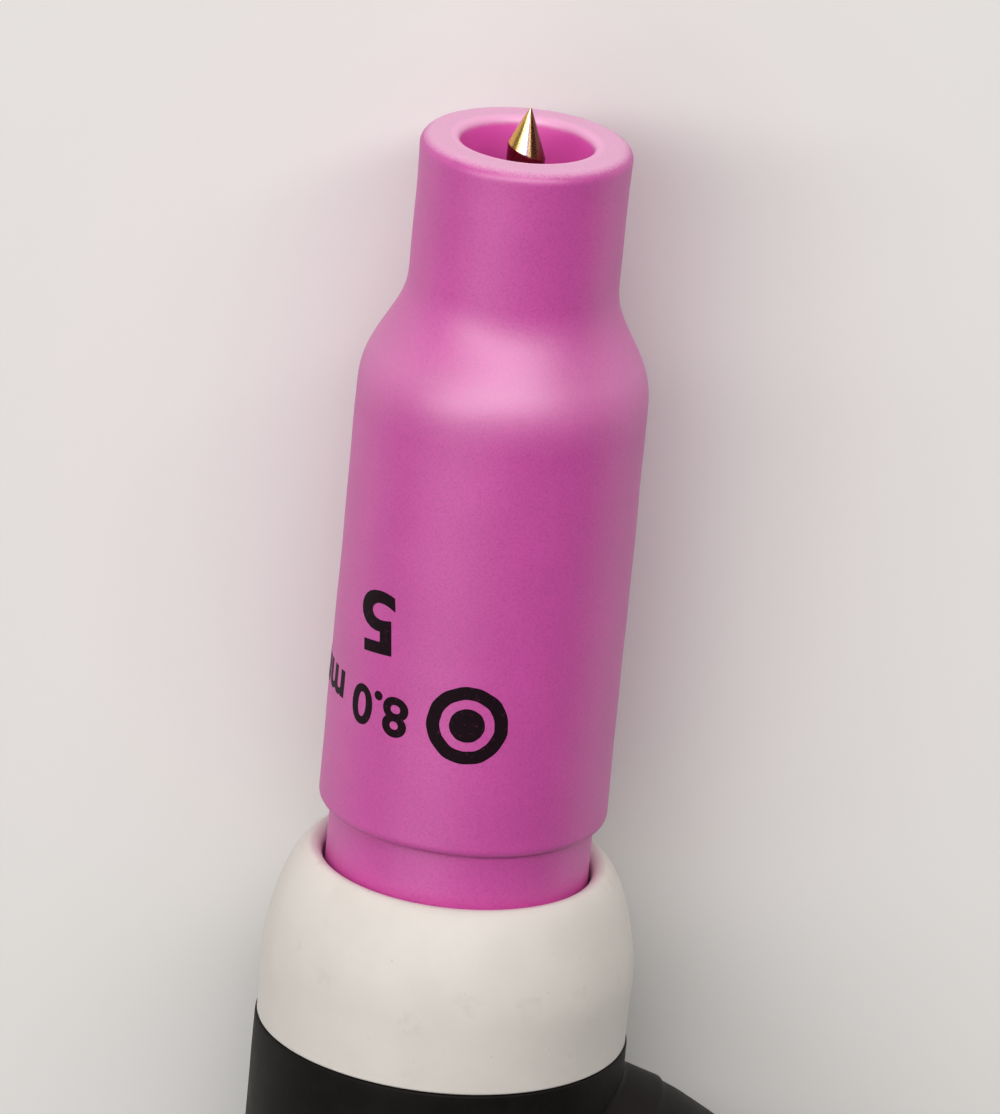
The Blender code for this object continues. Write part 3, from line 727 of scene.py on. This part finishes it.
def neckRadius(station):
    # level at the root, which ends in a small step, then an S-shaped taper to the neck's own radius
    look = cover
    share = smoothStep((station - look["rootStation"]) / (look["taperEnd"] - look["rootStation"]))
    taper = look["rootRadius"] + (look["endRadius"] - look["rootRadius"]) * share
    where, height, soft = look["bead"]
    bead = height * smoothStep((where - station) / soft + 0.5)
    land = look["landSlope"] * np.clip(where - station, 0, 4)
    return taper - 0.1 * smoothStep((12 - station) / 1.5) + bead - land


def neckSpot(radius, angle, station):
    # the point at a station along the neck and a radius from it; angles go from the nozzle's side to the top
    radial = np.cos(angle)[..., None] * neckAxis["side"] + np.sin(angle)[..., None] * neckAxis["up"]
    return neckAxis["origin"] + mm * (station[..., None] * neckAxis["along"] + radius[..., None] * radial)


def fromHead(points):
    # distance of points from the head's axis, in millimetres, and the vector out from that axis
    offset = (points - headAxis["origin"]) / mm
    radial = offset - (offset @ headAxis["along"])[..., None] * headAxis["along"]
    return np.linalg.norm(radial, axis=-1), radial


def meetHead(lineRadius, angle, target):
    # the station where each line along the neck comes to a distance from the head's axis, by halving
    low, high = np.zeros(len(angle)), np.full(len(angle), 40.0)
    for _ in range(40):
        middle = (low + high) / 2
        near = fromHead(neckSpot(lineRadius(middle), angle, middle))[0] < target
        low, high = np.where(near, middle, low), np.where(near, high, middle)
    return high


def makeNeck(material, barrelRadius):
    # each line of the neck runs straight to the barrel, then leaves it on a curve that ends along the skin
    look = cover
    rubberEnd = measure("handle", neckAxis)[0] - 0.2
    collarFront = rubberEnd - look["collarLength"]
    columns = look["neckColumns"]
    angle = anglesRound(columns)
    crook = smoothStep((1 - np.cos(angle)) / 2)
    fillet = 0.3 + (look["crookFillet"] - 0.3) * crook
    sideways = np.abs(np.sin(angle))
    room = (0.97 * barrelRadius - look["rootRadius"] * sideways) / np.maximum(sideways, 0.05)
    spread = np.minimum(fillet, np.maximum(room, 0.25))
    kneeStation = meetHead(neckRadius, angle, barrelRadius)
    skinStation = meetHead(lambda station: neckRadius(station) + spread, angle, barrelRadius)
    knee = neckSpot(neckRadius(kneeStation), angle, kneeStation)
    startStation = kneeStation + fillet
    start = neckSpot(neckRadius(startStation), angle, startStation)
    skin = neckSpot(neckRadius(skinStation) + spread, angle, skinStation)
    t = np.linspace(0, 1, 22)[:, None, None]
    curve = (1 - t) ** 2 * start + 2 * t * (1 - t) * knee + t ** 2 * skin
    distance, radial = fromHead(curve)
    lift = np.maximum(distance, barrelRadius - 0.03) / distance
    curve = curve + radial * (lift - 1)[..., None] * mm
    share = np.linspace(0, 1, 110)[:, None] ** 0.6
    straightEnd = collarFront - 1.6
    straight = straightEnd + (startStation - straightEnd) * share[:-1]
    sleeve = neckSpot(neckRadius(straight), angle + 0 * straight, straight)
    collar = roundCorners([
        (look["tubeRadius"], rubberEnd, 0), (look["collarRadius"], rubberEnd, 0.5),
        (look["collarRadius"], collarFront, 0.6), (look["endRadius"], collarFront - 1.5, 0.8),
        (look["endRadius"], straightEnd - 0.3, 0),
    ])[:-1]
    inner = barrelRadius - 1.4  # the root ends inside the barrel's wall
    distance, radial = fromHead(skin)
    root = skin + radial * (inner / distance - 1)[..., None] * mm
    tubeLine = np.full(columns, look["tubeRadius"])
    tubeRoot = neckSpot(tubeLine, angle, meetHead(lambda station: tubeLine, angle, inner))
    tubeEnd = neckSpot(tubeLine, angle, np.full(columns, rubberEnd))
    tube = tubeRoot + np.linspace(0, 1, 8)[:-1, None, None] * (tubeEnd - tubeRoot)
    grid = np.concatenate((neckSpot(*ringsOf(collar, columns)), sleeve, curve, root[None], tube))
    piece = addSurface("neckSheath", grid)
    dress(piece, "torch_body", material)


def makeCover():
    rubber = rubberFinish()
    makeNeck(rubber, makeBarrel(rubber))
    print("head and neck cover made")


# Handle

handle = {
    "frontRadius": 9.9,
    "boreRadius": 8.8,
    "threadRadius": 8.3,
    "threadLength": 19.0,
    "taperLength": 12.0,
    "ribCount": 10,
    "ribPitch": 8.0,
    "groove": 3.0,
    "depth": 0.9,
    "ribStart": 22.0,
    "columns": 160,
    "colour": (0.012, 0.012, 0.012),
}


def handleFinish():
    look = handle
    material, tree, shader, where = newFinish("handleMoulding", Specular_IOR_Level=0.45)
    dust = noise(tree, where, 9.0, 4, 0.6)
    pebble = noise(tree, where, 0.35, 2, 0.5)
    tone = ramp(tree, dust, ((0.40, look["colour"]), (0.82, shade(look["colour"], 2.4))))
    setSkin(tree, shader, tone, dust, (0.42, 0.62, 0.3, 0.75), pebble, 0.05, 0.6)
    return material


def makeHandle():
    look = handle
    front, rear, radius = measure("handle", neckAxis)
    bore, threadRadius, floor = look["boreRadius"], look["threadRadius"], radius - look["depth"]
    corners = [(look["frontRadius"], front, 0.5), (radius, front + look["taperLength"], 6)]
    for rib in range(look["ribCount"]):
        near = front + look["ribStart"] + look["ribPitch"] * rib
        far = near + look["groove"]
        corners += [(radius, near, 0.35), (floor, near + 0.7, 0.4)]
        corners += [(floor, far - 0.7, 0.4), (radius, far, 0.35)]
    threadEnd = front + look["threadLength"]
    corners += [(radius, rear, 0.9), (bore, rear, 0.5), (bore, threadEnd + 1, 0.3)]
    corners += [(threadRadius, threadEnd, 0.3), (threadRadius, front, 0.4)]
    outline = refine(roundCorners(corners, 6), 0.8)
    piece = turnOutline("handleGrip", outline, neckAxis, look["columns"], uneven(0.015))
    dress(piece, "torch_body", handleFinish(), ["handle"])
    print("handle made")


# Back cap

backCap = {
    "flutes": 16,
    "fluteDepth": 0.75,
    "threadPitch": 1.25,
    "threadRadius": 5.3,
    "reliefRadius": 4.65,
    "reliefLength": 3.3,
    "shoulderRadius": 6.3,
    "gripLength": 12.0,
    "tailRadius": 4.6,
    "tailWall": 5.0,
    "tailBore": 2.0,
    "insertSeat": (3.3, 9.8),  # radius and depth of the bore that holds the insert
    "insert": (1.6, 3.0),  # the insert's inner and outer radius
    "columns": 256,
    "colour": (0.012, 0.012, 0.013),
}


def phenolicFinish():
    look = backCap
    material, tree, shader, where = newFinish("phenolicMoulding", Specular_IOR_Level=0.5)
    smear = noise(tree, where, 5.0, 4, 0.6)
    grain = noise(tree, where, 0.18, 2, 0.5)
    tone = ramp(tree, smear, ((0.4, look["colour"]), (0.85, shade(look["colour"], 2.2))))
    setSkin(tree, shader, tone, smear, (0.22, 0.45, 0.3, 0.75), grain, 0.01, 0.4)
    return material


def makeBackCap():
    look = backCap
    end, threadFront, grip = measure("back_cap")
    face = measure("head_core")[0] - 1.3
    gripEnd = face - look["gripLength"]
    threadRadius, relief, threadRear = look["threadRadius"], look["reliefRadius"], face + look["reliefLength"]
    seatRadius, seatDepth = look["insertSeat"]
    gripInside = look["shoulderRadius"] - 0.3
    outline = refine(roundCorners([
        (seatRadius, threadFront, 0.2), (threadRadius, threadFront, 0.5),
        (threadRadius, threadRear, 0.1), (relief, threadRear, 0.1),
        (relief, face, 0.2), (grip, face, 0.6),
        (grip, gripEnd, 0.7), (look["shoulderRadius"], gripEnd - 1.6, 0.8),
        (look["tailRadius"], end, 3.2), (0.1, end, 0),
        (0.1, end + look["tailWall"], 0), (look["tailBore"], end + look["tailWall"] + 1, 0.3),
        (look["tailBore"], threadFront - seatDepth, 0.1),
        (seatRadius, threadFront - seatDepth, 0.1),
    ], 8), 1.0, fine=((relief + 0.05, threadRear, threadFront, 0.14), (gripInside, gripEnd - 1, face, 0.4)))

    def flutes(radius, angle, station):
        onGrip = smoothStep((station - gripEnd + 0.6) / 1.2) * smoothStep((face - 0.1 - station) / 0.8)
        wave = np.clip(np.cos(look["flutes"] * angle), -0.35, 1) + 0.35
        cut = -look["fluteDepth"] * wave / 1.35 * onGrip * (radius > gripInside)
        screw = thread(station, angle, threadRear + 0.3, threadFront - 0.3, look["threadPitch"], 0.5)
        return cut + np.where((radius > relief + 0.05) & (station > threadRear + 0.1), screw, 0)

    piece = turnOutline("capMoulding", outline, headAxis, look["columns"], flutes)
    dress(piece, "cap", phenolicFinish(), ["back_cap"])
    print("back cap made")


# Metal pieces

metals = {
    "copper": {"colour": (0.64, 0.27, 0.15), "dull": (0.30, 0.13, 0.08), "rough": (0.22, 0.42)},
    "brass": {"colour": (0.68, 0.47, 0.18), "dull": (0.36, 0.24, 0.10), "rough": (0.20, 0.40)},
}


def metalFinish(name, kind, axis=headAxis):
    # lathe rings across the axis, with tarnish in soft patches
    look = metals[kind]
    material, tree, shader, where = newFinish(name, Metallic=1.0)
    station = stationOf(tree, where, axis)
    rings = addNode(tree, "TexNoise", {"W": station, "Scale": 9.0, "Detail": 3.0}, noise_dimensions="1D")
    patch = noise(tree, where, 3.5, 4, 0.65)
    tone = ramp(tree, patch, ((0.42, look["colour"]), (0.80, look["dull"])))
    setSkin(tree, shader, tone, patch, (*look["rough"], 0.3, 0.7), rings.outputs["Fac"], 0.008, 0.6)
    return material


colletBody = {
    "seat": 3.3,  # station of the collar's rear face
    "collar": (6.1, 3.6),  # radius and length
    "threadEnd": 17.6,
    "threadRadius": 5.85,
    "rootRadius": 4.6,
    "rootPitch": 1.0,
    "tubeRadius": 4.25,
    "noseRadius": 2.3,
    "tipBore": 1.4,
    "bore": 2.75,
    "holes": (8.0, 1.06, 1.25),  # distance behind the tip, radius and depth of the four gas holes
}


def makeColletBody():
    look = colletBody
    rear, front = measure("collet_body")[:2]
    seat, threadEnd, bore = look["seat"], look["threadEnd"], look["bore"]
    collarRadius, collarLength = look["collar"]
    threadStart = seat + collarLength
    threadRadius, rootRadius, tubeRadius = look["threadRadius"], look["rootRadius"], look["tubeRadius"]
    behind, holeRadius, holeDepth = look["holes"]
    hole = front - behind
    outline = refine(roundCorners([
        (look["tipBore"], front, 0.1), (look["noseRadius"], front, 0.3),
        (tubeRadius, front - 5, 0.6), (tubeRadius, threadEnd + 1.2, 0.3),
        (threadRadius - 0.8, threadEnd + 1.2, 0.1), (threadRadius, threadEnd, 0.2),
        (threadRadius, threadStart, 0.0), (collarRadius, threadStart, 0.15),
        (collarRadius, seat, 0.2), (rootRadius, seat, 0.1),
        (rootRadius, rear, 0.7), (bore, rear, 0.2),
        (bore, front - 4.5, 0.3), (look["tipBore"], front - 1.5, 0.2),
    ]), 0.7, fine=(
        (5.4, threadStart, threadEnd, 0.13), (4.3, rear, seat, 0.13), (3.6, hole - 1.3, hole + 1.3, 0.11),
    ))

    def cuts(radius, angle, station):
        cup = thread(station, angle, threadStart + 0.1, threadEnd, nozzle["threadPitch"], 0.5)
        root = thread(station, angle, rear + 0.5, seat - 0.4, look["rootPitch"], 0.4)
        away = np.hypot(fromNearest(angle, 4) * tubeRadius, station - hole)
        gasHole = -holeDepth * smoothStep((holeRadius - away) / 0.14)
        onTube = (np.abs(radius - tubeRadius) < 0.2) & (station > threadEnd + 1.5)
        onThread = (radius > 5.4) & (station > threadStart + 0.05)
        onRoot = (radius > 4.2) & (station < seat - 0.3)
        return np.where(onThread, cup, 0) + np.where(onRoot, root, 0) + np.where(onTube, gasHole, 0)

    piece = turnOutline("colletBodyTurned", outline, headAxis, 176, cuts)
    dress(piece, "collet_holder", metalFinish("turnedCopper", "copper"), ["collet_body"])


collet = {
    "bore": 1.3,
    "noseRadius": 1.75,
    "radius": 2.45,
    "headRadius": 3.1,
    "slots": (13.0, 0.30, 1.42),  # length, half width, and the radius that their floors keep
}


def makeCollet():
    look = collet
    rear, front = measure("collet")[:2]
    length, halfWidth, floor = look["slots"]
    outline = refine(roundCorners([
        (look["bore"], front, 0.1), (look["noseRadius"], front, 0.2),
        (look["radius"], front - 1.4, 0.4), (look["radius"], rear + 1.6, 0.2),
        (look["headRadius"], rear + 1.2, 0.2), (look["headRadius"], rear, 0.3),
        (look["bore"], rear, 0.2),
    ]), 0.4)

    def slots(radius, angle, station):
        side = smoothStep((halfWidth - np.abs(fromNearest(angle, 4) * radius)) / 0.08)
        along = smoothStep((station - (front - length)) / 0.3)
        return -np.where(radius > floor + 0.03, (radius - floor) * side * along, 0)

    piece = turnOutline("colletTube", outline, headAxis, 240, slots)
    dress(piece, "collet", metalFinish("brightCopper", "copper"), ["collet"])


def makeInsert():
    rear, front = measure("back_cap_insert")[:2]
    inner, outer = backCap["insert"]
    corners = [(inner, front, 0.2), (outer, front, 0.3), (outer, rear, 0.1), (inner, rear, 0.1)]
    piece = turnOutline("capInsertTube", refine(roundCorners(corners), 0.6), headAxis, 128)
    dress(piece, "cap", metalFinish("insertBrass", "brass"), ["back_cap_insert"])


# Core, tube, bush, adaptor and O-ring

inside = {
    "coreRadius": 8.0,
    "bossRadius": 7.0,
    "bossStation": -1.5,
    "counterbore": (7.15, 2.4),  # radius and depth of the O-ring's seat
    "capSocket": (5.6, 12.5),
    "passageRadius": 3.4,
    "headThread": (4.9, -8.7),  # radius, and the station where it ends
    "stub": (6.2, 5.05, 11.0, 17.0),  # outer and inner radius, floor and end stations
    "tubeBore": 3.2,
    "bushBore": 5.05,
    "adaptorSleeve": 6.4,
    "adaptorBore": 2.4,
    "cableThread": (4.75, 15.0, 1.25),  # radius, length and pitch
    "hex": (7.0, 7.0, 1.0),  # half its width across flats, its length, and its distance from the thread
    "nylon": (0.016, 0.016, 0.017),
}


def makeCore():
    look = inside
    rear, front = measure("head_core")[:2]
    seatRadius, seatDepth = look["counterbore"]
    socketRadius, socketDepth = look["capSocket"]
    threadRadius, threadEnd = look["headThread"]
    outline = refine(roundCorners([
        (threadRadius + 0.5, front, 0.05), (look["bossRadius"], front, 0.4),
        (look["bossRadius"], look["bossStation"], 0.1),
        (look["coreRadius"], look["bossStation"], 0.3), (look["coreRadius"], rear, 0.25),
        (seatRadius, rear, 0.15), (seatRadius, rear + seatDepth, 0.1),
        (socketRadius, rear + seatDepth, 0.25), (socketRadius, rear + socketDepth, 0.1),
        (look["passageRadius"], rear + socketDepth + 1, 0.2),
        (look["passageRadius"], threadEnd, 0.1), (threadRadius, threadEnd, 0.1),
        (threadRadius, front - 0.5, 0.1),
    ]), 0.5, fine=((0, rear + seatDepth, rear + socketDepth, 0.16), (0, threadEnd, front, 0.14)))

    def screws(radius, angle, station):
        cap = thread(station, angle, rear + seatDepth, rear + socketDepth - 0.5, backCap["threadPitch"], 0.45)
        holder = thread(station, angle, threadEnd + 0.5, front - 0.2, 1.0, 0.4)
        inCap = (np.abs(radius - socketRadius) < 0.01) & (station < rear + socketDepth)
        return -np.where(inCap, cap, 0) - np.where(np.abs(radius - threadRadius) < 0.01, holder, 0)

    brass = metalFinish("machinedBrass", "brass")
    piece = turnOutline("coreTurned", outline, headAxis, 160, screws)
    dress(piece, "torch_body", brass, ["head_core"])

    outer, inner, floor, end = look["stub"]
    line = np.full(128, outer)
    root = meetHead(lambda station: line, anglesRound(128), look["coreRadius"] - 0.5)
    wall = [(outer, floor, 0), (outer, end, 0.3), (inner, end, 0.3), (inner, floor, 0.2), (0.1, floor, 0)]
    rest = neckSpot(*ringsOf(roundCorners(wall), 128))
    piece = addSurface("coreStub", np.vstack((neckSpot(line, anglesRound(128), root)[None], rest)), False)
    dress(piece, "torch_body", brass)


def makeTube():
    near, far, radius = measure("neck_tube", neckAxis)
    bore = inside["tubeBore"]
    corners = [(radius, near, 0.3), (radius, far, 0.3), (bore, far, 0.2), (bore, near, 0.2)]
    piece = turnOutline("neckTubeDrawn", refine(roundCorners(corners), 1.0), neckAxis, 96)
    dress(piece, "torch_body", metalFinish("drawnCopper", "copper", neckAxis), ["neck_tube"])


def nylonFinish():
    material, tree, shader, where = newFinish("blackNylon", Specular_IOR_Level=0.4)
    grain = noise(tree, where, 0.25, 3, 0.6)
    flow = noise(tree, where, 3.0, 3, 0.5)
    tone = ramp(tree, flow, ((0.4, inside["nylon"]), (0.8, shade(inside["nylon"], 2))))
    setSkin(tree, shader, tone, grain, (0.35, 0.55, 0.3, 0.7), grain, 0.015)
    return material


def makeBush():
    near, far, radius = measure("handle_thread_bush", neckAxis)
    bore = inside["bushBore"]
    corners = [(radius, near, 0.6), (radius, far, 0.6), (bore, far, 0.3), (bore, near, 0.3)]
    outline = refine(roundCorners(corners), 0.8, fine=((radius - 1, near, far, 0.2),))

    def screw(around, angle, station):
        return np.where(around > radius - 0.05, thread(station, angle, near + 0.8, far - 0.8, 2.0, 0.7), 0)

    piece = turnOutline("bushMoulded", outline, neckAxis, 128, screw)
    dress(piece, "torch_body", nylonFinish(), ["handle_thread_bush"])


def makeAdaptor():
    # a sleeve brazed on the tube, a hexagon for the spanner and the thread that the cable's nut goes on
    look = inside
    near, far = measure("cable_adaptor", neckAxis)[:2]
    tubeEnd = measure("neck_tube", neckAxis)[1]
    radius, length, pitch = look["cableThread"]
    half, width, space = look["hex"]
    threadStart = far - length
    hexEnd = threadStart - space
    corner = half / np.cos(np.pi / 6)
    outline = refine(roundCorners([
        (look["adaptorSleeve"], near, 0.4), (look["adaptorSleeve"], hexEnd - width, 0.1),
        (half + 0.1, hexEnd - width, 0), (corner, hexEnd - width + 0.6, 0),
        (corner, hexEnd - 0.6, 0), (half + 0.1, hexEnd, 0),
        (look["adaptorSleeve"], hexEnd, 0.1), (look["adaptorSleeve"], threadStart, 0.2),
        (radius - 0.6, threadStart, 0.1), (radius - 0.6, threadStart + 1.0, 0.1),
        (radius, threadStart + 1.4, 0.1), (radius, far, 0.5),
        (look["adaptorBore"], far, 0.3), (look["adaptorBore"], tubeEnd + 0.3, 0.1),
        (look["bushBore"], tubeEnd + 0.3, 0.1), (look["bushBore"], near, 0.3),
    ]), 0.5, fine=((3.5, threadStart, far, 0.15),))

    def shape(around, angle, station):
        flat = half / np.cos(fromNearest(angle, 6))
        screw = thread(station, angle, threadStart + 1.3, far - 0.2, pitch, 0.6)
        onThread = (np.abs(around - radius) < 0.02) & (station > threadStart + 1.2)
        return np.minimum(flat - around, 0) * (around > half) + np.where(onThread, screw, 0)

    piece = turnOutline("adaptorTurned", outline, neckAxis, 180, shape)
    brass = metalFinish("platedBrass", "brass", neckAxis)
    dress(piece, "torch_body", brass, ["cable_adaptor"])


def makeOring():
    rear, front, radius = measure("back_cap_oring")
    section = (front - rear) / 2
    turn = anglesRound(24)
    outline = section * np.column_stack((np.cos(turn), np.sin(turn))) + (radius - section, (rear + front) / 2)
    piece = turnOutline("oringMoulded", outline, headAxis, 112)
    dress(piece, "cap_seal", rubberFinish(), ["back_cap_oring"])


makeNozzle()
makeInk()
makeGasket()
makeElectrode()
makeCover()
makeHandle()
makeBackCap()
makeColletBody()
makeCollet()
makeInsert()
makeCore()
makeTube()
makeBush()
makeAdaptor()
makeOring()
print("inner pieces made")


# Room, lights and camera

def makeFloor():
    material = newFinish("paleFloor", Roughness=0.7, Base_Color=(0.88, 0.87, 0.85, 1))[0]
    half = 6.0  # metres
    corners = np.array([(-half, -half, 0), (half, -half, 0), (half, half, 0), (-half, half, 0)])
    floor = newPiece("floor", corners, [(0, 1, 2, 3)])
    floor.data.materials.append(material)


def aimed(origin, target):
    # the turn that points an object's -Z from one place to another
    back = unit(np.array(origin) - np.array(target))
    right = unit(np.cross((0, 0, 1), back))
    return Matrix(np.column_stack((right, np.cross(back, right), back)).tolist()).to_euler()


def makeLight(name, offset, size, power, colour):
    # the offset from the nozzle's middle is (towards the mouth, towards the handle's side, up), in metres
    target = headAxis["origin"] + 0.025 * headAxis["along"]
    spot = target + offset[0] * headAxis["along"] + offset[1] * headAxis["side"] + offset[2] * headAxis["up"]
    light = bpy.data.lights.new(name, "AREA")
    light.shape = "RECTANGLE"
    light.size, light.size_y = size
    light.energy = power
    light.color = colour
    lamp = bpy.data.objects.new(name, light)
    lamp.location = spot
    lamp.rotation_euler = aimed(spot, target)
    lamp.visible_camera = False
    bpy.context.collection.objects.link(lamp)


def makeRoom():
    makeFloor()
    makeLight("keySoftbox", (0.34, -0.10, 0.62), (1.6, 0.18), 5.4, (1.0, 0.975, 0.95))
    makeLight("mouthFill", (0.80, -0.05, 0.45), (0.5, 0.4), 1.8, (1.0, 0.98, 0.96))
    makeLight("topFill", (-0.35, -0.5, 0.9), (0.8, 0.8), 1.1, (1.0, 1.0, 1.0))
    world = bpy.data.worlds.new("paleRoom")
    world.use_nodes = True
    sky = world.node_tree.nodes["Background"].inputs
    sky["Color"].default_value = (0.95, 0.96, 1.0, 1)
    sky["Strength"].default_value = 0.14
    bpy.context.scene.world = world
    bpy.context.scene.view_settings.view_transform = "Standard"


camera = {
    "focal": 11.67,  # focal length over picture height
    "elevation": 20.64,  # of the view above the nozzle's mouth plane, degrees
    "roll": -5.62,
    "distance": 0.752,
    "shift": (1.60, 24.16),  # of the mouth's centre from the view's middle, millimetres
}


def makeCamera():
    look = camera
    mouth = headAxis["origin"] + measure("alumina_nozzle")[1] * mm * headAxis["along"]
    elevation, roll = np.radians(look["elevation"]), np.radians(look["roll"])
    forward = -np.cos(elevation) * headAxis["up"] - np.sin(elevation) * headAxis["along"]
    level = headAxis["side"]
    rise = np.cross(level, forward)
    right = np.cos(roll) * level - np.sin(roll) * rise
    up = np.sin(roll) * level + np.cos(roll) * rise
    spot = mouth - look["distance"] * forward - mm * (look["shift"][0] * right + look["shift"][1] * up)
    lens = bpy.data.cameras.new("studioCamera")
    lens.sensor_width = 36
    lens.lens = 36 * look["focal"]
    lens.clip_start = 0.05
    viewer = bpy.data.objects.new("studioCamera", lens)
    viewer.location = spot
    viewer.rotation_euler = Matrix(np.column_stack((right, up, -forward)).tolist()).to_euler()
    bpy.context.collection.objects.link(viewer)
    bpy.context.scene.camera = viewer


makeRoom()
makeCamera()
print("room and camera made")
